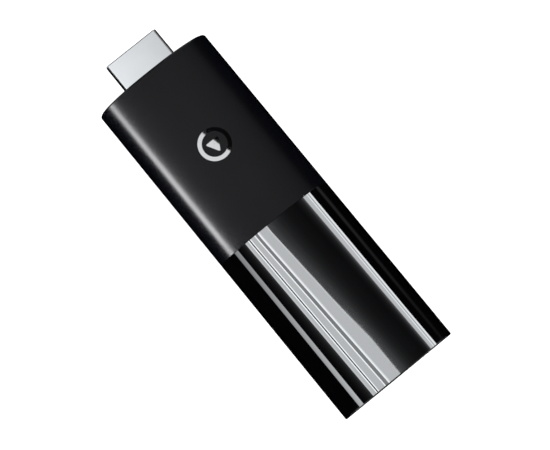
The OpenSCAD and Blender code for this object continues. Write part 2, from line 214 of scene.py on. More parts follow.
SHARP_CURVED = math.radians(32)     # an edge turning by more than this stays crisp
SHARP_BLOCK = math.radians(50)


def as_piece(mesh, materials, replaces, sharp):
    """Makes a mesh one piece of the object, smooth but for its sharp edges, in place of CAD nodes."""
    mesh.polygons.foreach_set("use_smooth", [True] * len(mesh.polygons))
    mesh.set_sharp_from_angle(angle=sharp)
    for material in materials:
        mesh.materials.append(material)
    piece = bpy.data.objects.new(mesh.name, mesh)
    bpy.context.scene.collection.objects.link(piece)
    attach(piece, "root")
    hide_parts(*replaces)
    return piece


def new_mesh(name, vertices, faces, material, slot, replaces):
    """A piece from vertices and faces, turned so that its faces look outward."""
    mesh = bpy.data.meshes.new(name)
    mesh.from_pydata([tuple(v) for v in vertices], [], faces)
    mesh.validate()
    shape = bmesh.new()
    shape.from_mesh(mesh)
    if shape.calc_volume(signed=True) < 0:
        bmesh.ops.reverse_faces(shape, faces=shape.faces)
    shape.to_mesh(mesh)
    shape.free()
    return as_piece(mesh, [material], replaces, SHARP_CURVED)


def loft(loops):
    """Vertices and faces of a skin through loops of equal count, with the last joined to the first."""
    count = len(loops[0])
    vertices = np.vstack(loops)
    faces = []
    for i in range(len(loops)):
        here, there = i * count, (i + 1) % len(loops) * count
        for k in range(count):
            n = (k + 1) % count
            faces.append((here + k, here + n, there + n, there + k))
    return vertices, faces


def between(a, b, parts):
    """Loops between a and b, without b."""
    return [a + (b - a) * i / parts for i in range(parts)]


FIRST_RING = 0.05 * MM
SECOND_RING = 0.15 * MM


def straight(x0, x1, inset, parts):
    """Loops of the section from x0 to x1, both ends included, with two more close to each end."""
    way = math.copysign(1, x1 - x0)
    near = [x0 + way * FIRST_RING, x0 + way * SECOND_RING]
    far = [x1 - way * SECOND_RING, x1 - way * FIRST_RING]
    middle = list(np.linspace(near[-1], far[0], parts + 1))[1:-1]
    return [oval(x, inset) for x in [x0, *near, *middle, *far, x1]]


def rounding(x, radius, toward, steps):
    """Loops that round the section's edge at x. toward is +1 where the body lies on the +X side."""
    turns = [math.pi / 2 * i / steps for i in range(steps + 1)]
    return [oval(x + toward * radius * (1 - math.sin(t)), radius * (1 - math.cos(t))) for t in turns]


# ---- materials ----

class Nodes:
    """A short way to build a node tree."""

    def __init__(self, name):
        self.material = bpy.data.materials.new(name)
        self.material.use_nodes = True
        self.tree = self.material.node_tree
        self.shader = self.tree.nodes["Principled BSDF"]
        self.where = self.tree.nodes.new("ShaderNodeTexCoord").outputs["Object"]

    def put(self, socket, value):
        """Links another node's output to a socket, or sets the socket's own value."""
        if isinstance(value, bpy.types.NodeSocket):
            self.tree.links.new(value, socket)
        else:
            socket.default_value = value

    def add(self, kind, **inputs):
        node = self.tree.nodes.new(kind)
        for key, value in inputs.items():
            self.put(node.inputs[key.replace("_", " ")], value)
        return node

    def stretched(self, x, y, z):
        return self.add("ShaderNodeMapping", Vector=self.where, Scale=(x, y, z)).outputs["Vector"]

    def noise(self, size, detail=3.0, where=None, roughness=0.5):
        return self.add("ShaderNodeTexNoise", Vector=where or self.where, Scale=1 / size, Detail=detail,
                        Roughness=roughness).outputs["Fac"]

    def spread(self, value, low, high, from_low=0.3, from_high=0.7):
        """Maps a value's usual range onto low to high."""
        node = self.add("ShaderNodeMapRange", Value=value)
        ends = {"From Min": from_low, "From Max": from_high, "To Min": low, "To Max": high}
        for key, number in ends.items():
            node.inputs[key].default_value = number
        return node.outputs["Result"]

    def mix(self, share, a, b):
        """Colour a where share is 0, b where it is 1. The node's colour sockets are 6, 7 and output 2."""
        node = self.tree.nodes.new("ShaderNodeMix")
        node.data_type = "RGBA"
        self.put(node.inputs[0], share)
        for index, value in ((6, a), (7, b)):
            self.put(node.inputs[index], (*value, 1) if isinstance(value, tuple) else value)
        return node.outputs[2]

    def edges(self, low=0.52, high=0.6):
        """1 on convex edges, 0 elsewhere."""
        point = self.tree.nodes.new("ShaderNodeNewGeometry").outputs["Pointiness"]
        return self.spread(point, 0, 1, low, high)

    def bump(self, height, depth):
        return self.add("ShaderNodeBump", Height=height, Distance=depth, Strength=1.0).outputs["Normal"]

    def set(self, **inputs):
        """Fills the shader's sockets and gives the finished material."""
        for key, value in inputs.items():
            self.put(self.shader.inputs[key.replace("_", " ")], value)
        return self.material


def moulded(name, dark, light, rough, grain, depth, worn=(0.05, 0.05, 0.055)):
    """Moulded plastic: spark-eroded grain, slow tone drift and slightly polished edges."""
    n = Nodes(name)
    tone = n.mix(n.spread(n.noise(6 * MM, 4), 0, 1), dark, light)
    colour = n.mix(n.edges(), tone, worn)
    cells = n.noise(grain, 4, roughness=0.65)
    return n.set(Base_Color=colour, Roughness=n.spread(n.noise(3 * MM, 5), *rough),
                 Normal=n.bump(cells, depth), IOR=1.5)


def metal(name, dark, light, rough, brush, depth, size=5 * MM):
    """Sheet metal: rolled or brushed lines along one way, tone drift and brighter edges.

    brush gives the lines' cells a metre along each axis, depth their relief and size the drift's patches."""
    n = Nodes(name)
    tone = n.mix(n.spread(n.noise(size, 4), 0, 1), dark, light)
    colour = n.mix(n.edges(), tone, tuple(min(1, c * 1.15) for c in light))
    lines = n.noise(1.0, 4, n.stretched(*brush), 0.6)
    return n.set(Base_Color=colour, Metallic=1.0, Roughness=n.spread(lines, *rough),
                 Normal=n.bump(lines, depth))


def matte_black():
    """The front sleeve: a faintly blue black with a fine even grain."""
    n = Nodes("matte_black")
    tone = n.mix(n.spread(n.noise(9 * MM, 3), 0, 1), (0.0012, 0.0014, 0.0032), (0.0018, 0.0021, 0.0043))
    colour = n.mix(n.edges(), tone, (0.006, 0.006, 0.0065))
    grain = n.noise(0.16 * MM, 5, roughness=0.7)
    return n.set(Base_Color=colour, Roughness=n.spread(n.noise(4 * MM, 4), 0.25, 0.27),
                 Normal=n.bump(grain, 0.5e-6), IOR=1.5)


def gloss_black():
    """The polished rear: a few hair scratches along the body and a very shallow waviness."""
    n = Nodes("gloss_black")
    tone = n.mix(n.spread(n.noise(12 * MM, 3), 0, 1), (0.0006, 0.0006, 0.0009), (0.0012, 0.0012, 0.0016))
    fine = n.noise(1.0, 3, n.stretched(260, 2600, 2600), 0.55)
    scratches = n.spread(fine, 0, 1, 0.66, 0.74)
    colour = n.mix(scratches, tone, (0.003, 0.003, 0.0035))
    return n.set(Base_Color=colour, Roughness=n.spread(n.noise(5 * MM, 4), 0.02, 0.036),
                 Normal=n.bump(n.noise(2.5 * MM, 2), 0.25e-6), IOR=1.5)


def circuit_board():
    """Green solder mask over copper: tracks along and across the board, and tinned vias."""
    n = Nodes("solder_mask")
    tone = n.mix(n.spread(n.noise(4 * MM, 4), 0, 1), (0.006, 0.042, 0.026), (0.010, 0.060, 0.036))
    heights = []
    for turn, row, size in ((0, 0.34 * MM, 5 * MM), (math.radians(90), 0.42 * MM, 7 * MM)):
        place = n.add("ShaderNodeMapping", Vector=n.where, Rotation=(0, 0, turn)).outputs["Vector"]
        lines = n.add("ShaderNodeTexBrick", Vector=place, Scale=1.0, Mortar_Size=0.05 * MM, Mortar_Smooth=0.2,
                      Brick_Width=size, Row_Height=row).outputs["Fac"]
        areas = n.spread(n.noise(size, 1), 0, 1, 0.5, 0.52)
        tracks = n.add("ShaderNodeMath", Value=lines)
        tracks.operation = "MULTIPLY"
        n.put(tracks.inputs[1], areas)
        heights.append(tracks.outputs["Value"])
        tone = n.mix(heights[-1], tone, (0.016, 0.095, 0.055))
    dots = n.add("ShaderNodeTexVoronoi", Vector=n.where, Scale=1 / (1.7 * MM), Randomness=0.8)
    vias = n.spread(dots.outputs["Distance"], 1, 0, 0.10, 0.13)
    colour = n.mix(vias, tone, (0.62, 0.58, 0.46))
    shine = n.spread(n.noise(2 * MM, 3), 0.28, 0.40)
    return n.set(Base_Color=colour, Metallic=n.spread(vias, 0, 0.9, 0, 1), Roughness=shine,
                 Normal=n.bump(heights[0], 12e-6))


def thermal_pad():
    """Soft blue-grey silicone with pale filler specks."""
    n = Nodes("thermal_pad")
    tone = n.mix(n.spread(n.noise(1.2 * MM, 4), 0, 1), (0.30, 0.36, 0.42), (0.38, 0.45, 0.50))
    specks = n.spread(n.noise(0.12 * MM, 2), 0, 1, 0.58, 0.66)
    colour = n.mix(specks, tone, (0.62, 0.66, 0.70))
    return n.set(Base_Color=colour, Roughness=n.spread(n.noise(0.8 * MM, 3), 0.75, 0.92),
                 Subsurface_Weight=0.1, Normal=n.bump(n.noise(0.2 * MM, 4), 12e-6))


def rubber():
    """Dull rubber, paler along its edges."""
    n = Nodes("gasket_rubber")
    tone = n.mix(n.spread(n.noise(1.5 * MM, 4), 0, 1), (0.020, 0.020, 0.022), (0.034, 0.034, 0.036))
    colour = n.mix(n.edges(), tone, (0.07, 0.07, 0.072))
    return n.set(Base_Color=colour, Roughness=n.spread(n.noise(0.5 * MM, 4), 0.7, 0.88), Sheen_Weight=0.15,
                 Normal=n.bump(n.noise(0.1 * MM, 4), 4e-6))


def ceramic():
    """Brown capacitor ceramic, each a slightly different shade."""
    n = Nodes("capacitor_ceramic")
    tone = n.mix(n.spread(n.noise(1.1 * MM, 3), 0, 1), (0.24, 0.15, 0.085), (0.36, 0.25, 0.15))
    return n.set(Base_Color=tone, Roughness=n.spread(n.noise(0.3 * MM, 4), 0.4, 0.6),
                 Normal=n.bump(n.noise(0.05 * MM, 4), 1.5e-6))


MATTE = matte_black()
GLOSS = gloss_black()
NICKEL = metal("plug_nickel", (0.72, 0.73, 0.74), (0.75, 0.76, 0.77), (0.06, 0.08),
               (500, 7000, 7000), 0.03e-6)
MARK = moulded("mark_black", (0.0014, 0.0014, 0.0017), (0.0022, 0.0022, 0.0026), (0.022, 0.034),
               2 * MM, 0.1e-6, (0.004, 0.004, 0.0045))
STEEL = metal("socket_steel", (0.56, 0.57, 0.58), (0.68, 0.69, 0.70), (0.22, 0.34),
              (4000, 900, 900), 0.1e-6)
CONNECTOR = moulded("connector_plastic", (0.010, 0.010, 0.011), (0.016, 0.016, 0.017), (0.42, 0.55),
                    0.08 * MM, 1.5e-6, (0.03, 0.03, 0.032))
GOLD = metal("gold_contact", (0.78, 0.55, 0.22), (0.90, 0.68, 0.32), (0.16, 0.28),
             (900, 6000, 6000), 0.2e-6, 2 * MM)
RUBBER = rubber()
FRAME = moulded("frame_plastic", (0.055, 0.058, 0.062), (0.075, 0.078, 0.083), (0.45, 0.6),
                0.12 * MM, 3e-6, (0.13, 0.135, 0.14))
BOARD = circuit_board()
SCREW = metal("screw_steel", (0.42, 0.42, 0.43), (0.58, 0.58, 0.60), (0.2, 0.34),
              (5000, 5000, 1500), 0.3e-6, 1 * MM)
RESIN = moulded("chip_resin", (0.018, 0.018, 0.019), (0.028, 0.028, 0.030), (0.5, 0.66),
                0.05 * MM, 2.5e-6, (0.06, 0.06, 0.062))
SUBSTRATE = moulded("chip_substrate", (0.02, 0.05, 0.035), (0.03, 0.07, 0.05), (0.4, 0.5),
                    0.1 * MM, 1e-6)
DOT = moulded("chip_dot", (0.07, 0.07, 0.072), (0.10, 0.10, 0.104), (0.6, 0.75), 0.05 * MM, 1e-6)
CAN = metal("can_steel", (0.60, 0.61, 0.62), (0.72, 0.73, 0.74), (0.26, 0.40),
            (1200, 6000, 6000), 0.4e-6)
TIN = metal("tinned_end", (0.66, 0.66, 0.65), (0.80, 0.80, 0.79), (0.25, 0.42),
            (9000, 9000, 9000), 0.8e-6, 0.4 * MM)
FERRITE = moulded("ferrite", (0.040, 0.040, 0.042), (0.062, 0.061, 0.060), (0.55, 0.75),
                  0.09 * MM, 8e-6, (0.11, 0.11, 0.11))
CRYSTAL = metal("crystal_metal", (0.62, 0.60, 0.55), (0.74, 0.72, 0.66), (0.2, 0.32),
                (1500, 7000, 7000), 0.2e-6)
CERAMIC = ceramic()
ANTENNA = metal("antenna_metal", (0.70, 0.60, 0.38), (0.80, 0.70, 0.46), (0.26, 0.38),
                (6000, 800, 6000), 0.3e-6)
PAD = thermal_pad()
SPREADER = metal("spreader_aluminium", (0.66, 0.67, 0.69), (0.76, 0.77, 0.79), (0.3, 0.44),
                 (250, 7000, 7000), 0.8e-6)


# ---- the casing ----

SEAM = 0.05 * MM             # tiny bevel on both sides of the split
SPLIT_GAP = 0.02 * MM        # between the two sleeves' faces
RIM = 0.8 * MM               # the gloss sleeve's thin lip round the tail plate
LIP = 0.08 * MM              # bevel between that lip and the plate
EDGE_STEPS = 5               # loops round a small edge


def front_shell():
    """The matt sleeve: outside from the split to the nose, in through the plug's opening, and back inside."""
    nose_r = 0.4 * MM
    flare, flare_depth = 0.2 * MM, 0.15 * MM
    clearance = 0.05 * MM
    count = len(OVAL)
    wall_x = NOSE_X + END_WALL
    mouth = loop_at(NOSE_X, plug_outline(-flare), count)
    hole = loop_at(NOSE_X + flare_depth, plug_outline(-clearance), count)
    hole_back = loop_at(wall_x, plug_outline(-clearance), count)
    inner = oval(wall_x, WALL)
    loops = [oval(SPLIT_X, SEAM)]
    loops += straight(SPLIT_X - SEAM, NOSE_X + nose_r + SECOND_RING, 0, 14)
    loops += rounding(NOSE_X, nose_r, 1, 2 * EDGE_STEPS)
    edge = loops[-1]
    loops += between(edge, mouth, 8)[1:] + [mouth, hole, hole_back]
    loops += between(hole_back, inner, 4)[1:]
    loops += straight(wall_x, SPLIT_X, WALL, 6)
    return new_mesh("front_shell", *loft(loops), MATTE, "matte_shell", ["front_housing"])


def gloss_shell():
    """The gloss sleeve: outside from the split to the tail, in over the rim, back inside, and the tongue."""
    tail_r = 0.3 * MM
    tongue_x = rear_low.x
    root_x = SPLIT_X + 1.5 * MM
    face_x = SPLIT_X + SPLIT_GAP
    cap_back = cap_high.x - END_WALL
    loops = [oval(face_x, SEAM + SPLIT_GAP)]
    loops += straight(SPLIT_X + SEAM + SPLIT_GAP, TAIL_X - tail_r - 0.1 * MM, 0, 14)
    loops += rounding(TAIL_X, tail_r, -1, EDGE_STEPS)
    loops += [oval(TAIL_X, RIM - LIP), oval(TAIL_X - LIP, RIM), oval(cap_back, RIM)]
    loops += straight(cap_back, root_x, WALL, 6)
    loops += [oval(root_x, TONGUE_IN), oval(tongue_x, TONGUE_IN), oval(tongue_x, TONGUE_OUT),
              oval(face_x, TONGUE_OUT)]
    return new_mesh("gloss_shell", *loft(loops), GLOSS, "gloss_shell", ["rear_cover"])


def tail_plate():
    """The tail's end wall: a plate with a recess round the socket's opening, and a skirt inside it."""
    seat = RIM + 0.05 * MM
    recess_depth = 0.55 * MM
    clearance = 0.2 * MM
    face_x = cap_high.x
    back_x = face_x - END_WALL
    skirt_x = cap_low.x
    count = len(OVAL)
    recess_x = face_x - recess_depth
    lip = loop_at(face_x, socket_outline(-0.8 * MM, 0.85 * MM), count)
    recess = loop_at(face_x - 0.1 * MM, socket_outline(-0.7 * MM, 0.8 * MM), count)
    floor = loop_at(recess_x, socket_outline(-0.62 * MM, 0.75 * MM), count)
    hole = loop_at(recess_x, socket_outline(-clearance), count)
    hole_back = loop_at(back_x, socket_outline(-clearance), count)
    loops = [oval(back_x, seat), oval(face_x - LIP, seat)]
    loops += between(oval(face_x, seat + LIP), lip, 8) + [lip, recess, floor, hole, hole_back]
    loops += between(hole_back, oval(back_x, TONGUE_IN), 4)[1:]
    loops += [oval(back_x, TONGUE_IN), oval(skirt_x, TONGUE_IN), oval(skirt_x, TONGUE_OUT),
              oval(back_x, TONGUE_OUT)]
    return new_mesh("tail_plate", *loft(loops), GLOSS, "gloss_shell", ["tail_cap"])


MARK_POINTS = 192            # round each outline of the mark
MARK_BEVEL = 0.03 * MM
MARK_DEPTH = 0.25 * MM


def inlay(centre, outline, inner, rings):
    """A thin curved inlay between two outlines, its top following the crown.

    outline and inner are functions of a turn fraction that give a point in XY about centre."""
    turns = np.arange(MARK_POINTS) / MARK_POINTS
    outer_points = np.array([outline(t) for t in turns])
    inner_points = np.array([inner(t) for t in turns])

    def ring(share, down):
        flat = inner_points + (outer_points - inner_points) * share + centre
        top = crown_at(flat[:, 1])[0]
        return np.column_stack([flat, top + MARK_LIFT - down])

    width = np.linalg.norm(outer_points - inner_points, axis=1).mean()
    cut = MARK_BEVEL / width
    shares = [cut] + list(np.linspace(cut, 1 - cut, rings + 1))[1:-1] + [1 - cut]
    loops = [ring(0, MARK_BEVEL)] + [ring(s, 0) for s in shares]
    loops += [ring(1, MARK_BEVEL), ring(1, MARK_DEPTH), ring(0, MARK_DEPTH)]
    return loft([l[::-1] for l in loops])


def mark():
    """A ring with a rounded triangle pointing to the tail, let into the matt half."""
    centre = np.array([(mark_low.x + mark_high.x) / 2, (mark_low.y + mark_high.y) / 2])
    ring_out = (mark_high.y - mark_low.y) / 2
    ring_in = ring_out - 1 * MM
    corner = 2.1 * MM
    corner_r = 0.25 * MM
    middle = 0.02            # the triangle's loops end in one this share of its size

    def circle(radius):
        return lambda t: radius * np.array([math.cos(2 * math.pi * t), math.sin(2 * math.pi * t)])

    corners = [(corner * math.cos(a), corner * math.sin(a)) for a in (0, 2 * math.pi / 3, 4 * math.pi / 3)]
    triangle = resample(rounded(corners, corner_r), MARK_POINTS)

    def triangle_at(t):
        return triangle[int(round(t * MARK_POINTS)) % MARK_POINTS]

    parts = [inlay(centre, circle(ring_out), circle(ring_in), 6),
             inlay(centre, triangle_at, lambda t: triangle_at(t) * middle, 10)]
    vertices = np.vstack([p[0] for p in parts])
    shift = len(parts[0][0])
    faces = parts[0][1] + [tuple(i + shift for i in f) for f in parts[1][1]]
    return new_mesh("play_mark", vertices, faces, MARK, "mark", ["mark_inlay"])


# ---- connectors ----

MOUTH_R = 0.24 * MM          # rounding of a shell's mouth, nearly its sheet's thickness
FINE = 0.02 * MM
BACK_BEVEL = 0.03 * MM


def sheet_tube(name, outline, x0, x1, material, slot, replaces, count, mouth_at_low):
    """A folded sheet-metal shell with a rounded mouth edge."""
    mouth, back = (x0, x1) if mouth_at_low else (x1, x0)
    way = 1 if mouth_at_low else -1
    flat_end = mouth + way * (MOUTH_R + 0.1 * MM)
    loops = [loop_at(back, outline(BACK_BEVEL), count), loop_at(back - way * BACK_BEVEL, outline(0), count)]
    loops += [loop_at(x, outline(0), count) for x in np.linspace(back, flat_end, 8)[1:]]
    for i in range(EDGE_STEPS + 1):
        turn = math.pi / 2 * i / EDGE_STEPS
        x = mouth + way * MOUTH_R * (1 - math.sin(turn))
        loops.append(loop_at(x, outline(MOUTH_R * (1 - math.cos(turn))), count))
    loops += [loop_at(mouth + way * FINE, outline(SHEET - 2 * FINE), count),
              loop_at(mouth + way * 4 * FINE, outline(SHEET), count), loop_at(back, outline(SHEET), count)]
    if not mouth_at_low:
        loops = [l[::-1] for l in loops]
    return new_mesh(name, *loft(loops), material, slot, replaces)


def blocks(name, boxes, materials, replaces, bevel=0.04 * MM, steps=2):
    """One piece of many bevelled blocks. Each box is (low corner, high corner, material number)."""
    shape = bmesh.new()
    for low, high, number in boxes:
        made = bmesh.ops.create_cube(shape, size=1)["verts"]
        for vertex in made:
            vertex.co = Vector([low[i] + (vertex.co[i] + 0.5) * (high[i] - low[i]) for i in range(3)])
        for face in {f for v in made for f in v.link_faces}:
            face.material_index = number
    bmesh.ops.bevel(shape, geom=list(shape.edges), offset=bevel, segments=steps, profile=0.5, affect="EDGES")
    mesh = bpy.data.meshes.new(name)
    shape.to_mesh(mesh)
    shape.free()
    return as_piece(mesh, materials, replaces, SHARP_BLOCK)


front = front_shell()
gloss = gloss_shell()
tail = tail_plate()
mark_piece = mark()

PLUG_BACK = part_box("plug_insulator")[1].x
board_low, board_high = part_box("main_board")


def solder_tabs():
    """The plug shell's two rear ears, each with two legs through the board."""
    sliver = 0.01 * MM       # keeps the legs' faces off the ears' faces
    leg = 0.8 * MM
    first_leg = PLUG_BACK + 0.4 * MM
    boxes = []
    for side in (-1, 1):
        y0, y1 = sorted((side * (plug_high.y - SHEET), side * plug_high.y))
        boxes.append(((PLUG_BACK - SHEET, y0, board_high.z + 0.1 * MM),
                      (plug_high.x, y1, board_high.z + 0.9 * MM), 0))
        for x, end in ((first_leg, first_leg + leg), (plug_high.x - leg, plug_high.x - sliver)):
            boxes.append(((x, y0 + sliver, board_low.z - 0.6 * MM),
                          (end, y1 - sliver, board_high.z + 0.4 * MM), 0))
    return blocks("plug_solder_tabs", boxes, [NICKEL], ["plug_shell"])


def mounting_ears():
    """Two flat ears on each side of the socket's shell, on the board."""
    ear = 1 * MM
    boxes = []
    for side in (-1, 1):
        y0, y1 = sorted((side * 3.65 * MM, side * socket_high.y))
        for x in (socket_low.x + 0.4 * MM, socket_low.x + 2 * MM):
            boxes.append(((x, y0, board_high.z), (x + ear, y1, board_high.z + SHEET), 0))
    blocks("socket_ears", boxes, [STEEL], ["socket_shell"])


plug = sheet_tube("plug_tube", plug_outline, plug_low.x, PLUG_BACK, NICKEL, "plug_nickel",
                  ["plug_shell"], 288, True)
plug_tabs = solder_tabs()
socket = sheet_tube("socket_tube", socket_outline, socket_low.x, socket_high.x, STEEL, "socket_steel",
                    ["socket_shell"], 192, False)
mounting_ears()

# ---- parts on the board, each built where its CAD solid is ----


def solids(node):
    """The lowest and highest corners of each separate solid in a CAD node."""
    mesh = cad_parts[node].data
    group = {}

    def find(key):
        while group.setdefault(key, key) != key:
            key = group[key]
        return key

    spots = [tuple(round(c * 1e6) for c in v.co) for v in mesh.vertices]
    for polygon in mesh.polygons:
        first = find(spots[polygon.vertices[0]])
        for index in polygon.vertices[1:]:
            group[find(spots[index])] = first
    members = {}
    for index, spot in enumerate(spots):
        members.setdefault(find(spot), []).append(mesh.vertices[index].co)
    boxes = []
    for points in members.values():
        low = Vector([min(p[i] for p in points) for i in range(3)])
        high = Vector([max(p[i] for p in points) for i in range(3)])
        boxes.append((low, high))
    return sorted(boxes, key=lambda box: tuple(round(c, 6) for c in box[0]))


def is_below(box):
    return box[1].z < (board_low.z + board_high.z) / 2


def slab(box, inset, bottom, top, number):
    """Part of a solid's box: inset from its sides, from one share of its height to another off the board."""
    low, high = box
    tall = high.z - low.z
    if is_below(box):
        z = (high.z - top * tall, high.z - bottom * tall)
    else:
        z = (low.z + bottom * tall, low.z + top * tall)
    return (low.x + inset, low.y + inset, z[0]), (high.x - inset, high.y - inset, z[1]), number


def leads(box, count):
    """Solder lands for count leads on each of a chip's four sides."""
    half_w, length, margin = 0.1 * MM, 0.3 * MM, 0.4 * MM
    low, high = box
    base = slab(box, 0, 0, 0.25, 1)
    lands = []
    for i in range(count):
        share = (i + 0.5) / count
        x = low.x + margin + (high.x - low.x - 2 * margin) * share
        y = low.y + margin + (high.y - low.y - 2 * margin) * share
        for corner, opposite in (((x - half_w, low.y), (x + half_w, low.y + length)),
                                 ((x - half_w, high.y - length), (x + half_w, high.y)),
                                 ((low.x, y - half_w), (low.x + length, y + half_w)),
                                 ((high.x - length, y - half_w), (high.x, y + half_w))):
            lands.append(((*corner, base[0][2]), (*opposite, base[1][2]), 1))
    return lands


def packages(name, node, dot, lead_count=0):
    """Moulded chips: a substrate or leads at the board, the moulded body, and a spot at pin one."""
    boxes = []
    for box in solids(node):
        if lead_count:
            boxes.append(slab(box, 0.05 * MM, 0.04, 0.97, 0))
            boxes += leads(box, lead_count)
        else:
            boxes.append(slab(box, 0, 0, 0.3, 1))
            boxes.append(slab(box, 0.12 * MM, 0.28, 0.97, 0))
        spot = slab(box, 0, 0.9, 1, 2)
        x, y = box[0].x + 3 * dot, box[1].y - 3 * dot
        boxes.append(((x - dot, y - dot, spot[0][2]), (x + dot, y + dot, spot[1][2]), 2))
    return blocks(name, boxes, [RESIN, TIN if lead_count else SUBSTRATE, DOT], [node], 0.03 * MM)


def capacitors():
    """Chip capacitors: a ceramic body, slightly thinner than its tinned end caps."""
    inset = Vector((0.03 * MM,) * 3)
    cap = 0.35 * MM
    boxes = []
    for low, high in solids("chip_capacitors"):
        along = 0 if high.x - low.x > high.y - low.y else 1
        boxes.append((low + inset, high - inset, 0))
        near_end, far_end = high.copy(), low.copy()
        near_end[along] = low[along] + cap
        far_end[along] = high[along] - cap
        boxes += [(low, near_end, 1), (far_end, high, 1)]
    return blocks("ceramic_capacitors", boxes, [CERAMIC, TIN], ["chip_capacitors"],
                  0.06 * MM)


def inductors():
    """Shielded coils: a ferrite block on two tinned feet."""
    foot, margin = 0.9 * MM, 0.5 * MM
    boxes = []
    for box in solids("power_inductors"):
        boxes.append(slab(box, 0.06 * MM, 0.06, 1, 0))
        low, high = box
        base = slab(box, 0, 0, 0.3, 1)
        for y0, y1 in ((low.y, low.y + foot), (high.y - foot, high.y)):
            boxes.append(((low.x + margin, y0, base[0][2]), (high.x - margin, y1, base[1][2]), 1))
    return blocks("shielded_inductors", boxes, [FERRITE, TIN], ["power_inductors"], 0.12 * MM, 3)


def crystal_cans():
    """Crystals: a metal lid on a ceramic base."""
    boxes = []
    for box in solids("crystals"):
        boxes += [slab(box, 0, 0, 0.55, 1), slab(box, 0.14 * MM, 0.5, 1, 0)]
    return blocks("crystal_cans", boxes, [CRYSTAL, CERAMIC], ["crystals"], 0.05 * MM)


def radio():
    """The radio module: a screening can on its own small board."""
    box = solids("radio_module")[0]
    boxes = [slab(box, 0, 0, 0.3, 1), slab(box, 0.35 * MM, 0.28, 1, 0)]
    return blocks("radio_module_can", boxes, [CAN, SUBSTRATE], ["radio_module"], 0.1 * MM, 3)


packages("processor_package", "processor", 0.35 * MM)
packages("memory_packages", "memory_chips", 0.25 * MM)
packages("storage_package", "storage_chip", 0.3 * MM)
packages("power_packages", "power_chips", 0.14 * MM, 6)
capacitors()
inductors()
crystal_cans()
radio()


MERGE = 1e-6                 # vertices closer than this are one
BEVEL_ANGLE = math.radians(40)


def dress(node, material, width=0.0):
    """Gives a carried-over CAD node its material, and small edge rounding by modifier."""
    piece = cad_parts[node]
    piece.material_slots[0].material = material
    if width:
        weld = piece.modifiers.new("weld", "WELD")
        weld.merge_threshold = MERGE
        bevel = piece.modifiers.new("edges", "BEVEL")
        bevel.width = width
        bevel.segments = 2
        bevel.limit_method = "ANGLE"
        bevel.angle_limit = BEVEL_ANGLE
    return piece


insulator = dress("plug_insulator", CONNECTOR)
contacts = dress("plug_contacts", GOLD, 0.03 * MM)
dress("plug_gasket", RUBBER, 0.15 * MM)
tongue = dress("socket_tongue", CONNECTOR)
pins = dress("socket_contacts", GOLD, 0.02 * MM)
dress("inner_frame", FRAME)
dress("main_board", BOARD)
dress("frame_screws", SCREW)
dress("antennas", ANTENNA, 0.03 * MM)
for node in ("upper_shield_frame", "upper_shield_lid", "lower_shield_can"):
    dress(node, CAN, 0.06 * MM)
for node in ("processor_pad", "upper_thermal_pad", "lower_thermal_pad"):
    dress(node, PAD, 0.1 * MM)
for node in ("upper_heat_spreader", "lower_heat_spreader"):
    dress(node, SPREADER, 0.08 * MM)

# ---- camera ----

CAMERA_AT = Vector((46.97, -26.57, 406.17)) * MM
CAMERA_AIM = Vector((3.984, 0.07, 7.5)) * MM
CAMERA_HEADING = math.radians(140.931)      # where the top of the picture points, seen from above
LENS = 119.54
SENSOR = 36


def add_camera():
    data = bpy.data.cameras.new("camera")
    data.lens = LENS
    data.sensor_width = SENSOR
    data.clip_start = 0.01
    camera = bpy.data.objects.new("camera", data)
    back = (CAMERA_AT - CAMERA_AIM).normalized()
    up_hint = Vector((math.cos(CAMERA_HEADING), math.sin(CAMERA_HEADING), 0))
    right = up_hint.cross(back).normalized()
    up = back.cross(right)
    turn = Matrix((right, up, back)).transposed().to_4x4()
    camera.matrix_world = Matrix.Translation(CAMERA_AT) @ turn
    bpy.context.scene.collection.objects.link(camera)
    bpy.context.scene.camera = camera


add_camera()

# ---- floor, world and lights ----


def emission(name, colour):
    """Light that a mesh's own glow attribute sets. Rays pass through it, so cards don't hide each other."""
    material = bpy.data.materials.new(name)
    material.use_nodes = True
    tree = material.node_tree
    tree.nodes.clear()
    out = tree.nodes.new("ShaderNodeOutputMaterial")
    both = tree.nodes.new("ShaderNodeAddShader")
    clear = tree.nodes.new("ShaderNodeBsdfTransparent")
    light = tree.nodes.new("ShaderNodeEmission")
    light.inputs["Color"].default_value = (*colour, 1)
    strength = tree.nodes.new("ShaderNodeAttribute")
    strength.attribute_name = "glow"
    tree.links.new(strength.outputs["Fac"], light.inputs["Strength"])
    tree.links.new(light.outputs["Emission"], both.inputs[0])
    tree.links.new(clear.outputs["BSDF"], both.inputs[1])
    tree.links.new(both.outputs["Shader"], out.inputs["Surface"])
    return material


FLOOR_HALF = 1.5
FLOOR_Z = -0.02 * MM         # just under the part, so the two don't share a plane
FLOOR_GLOW = 0.75            # brings the floor to the white of a studio table


def add_floor():
    mesh = bpy.data.meshes.new("floor")
    corners = [(x * FLOOR_HALF, y * FLOOR_HALF, 0) for x, y in ((-1, -1), (1, -1), (1, 1), (-1, 1))]
    mesh.from_pydata(corners, [], [(0, 1, 2, 3)])
    n = Nodes("floor")
    mesh.materials.append(n.set(Base_Color=(0.9, 0.9, 0.9, 1), Roughness=0.9, Specular_IOR_Level=0,
                                Emission_Color=(1, 1, 1, 1), Emission_Strength=FLOOR_GLOW))
    floor = bpy.data.objects.new("floor", mesh)
    floor.location.z = FLOOR_Z
    bpy.context.scene.collection.objects.link(floor)
    floor.visible_glossy = False


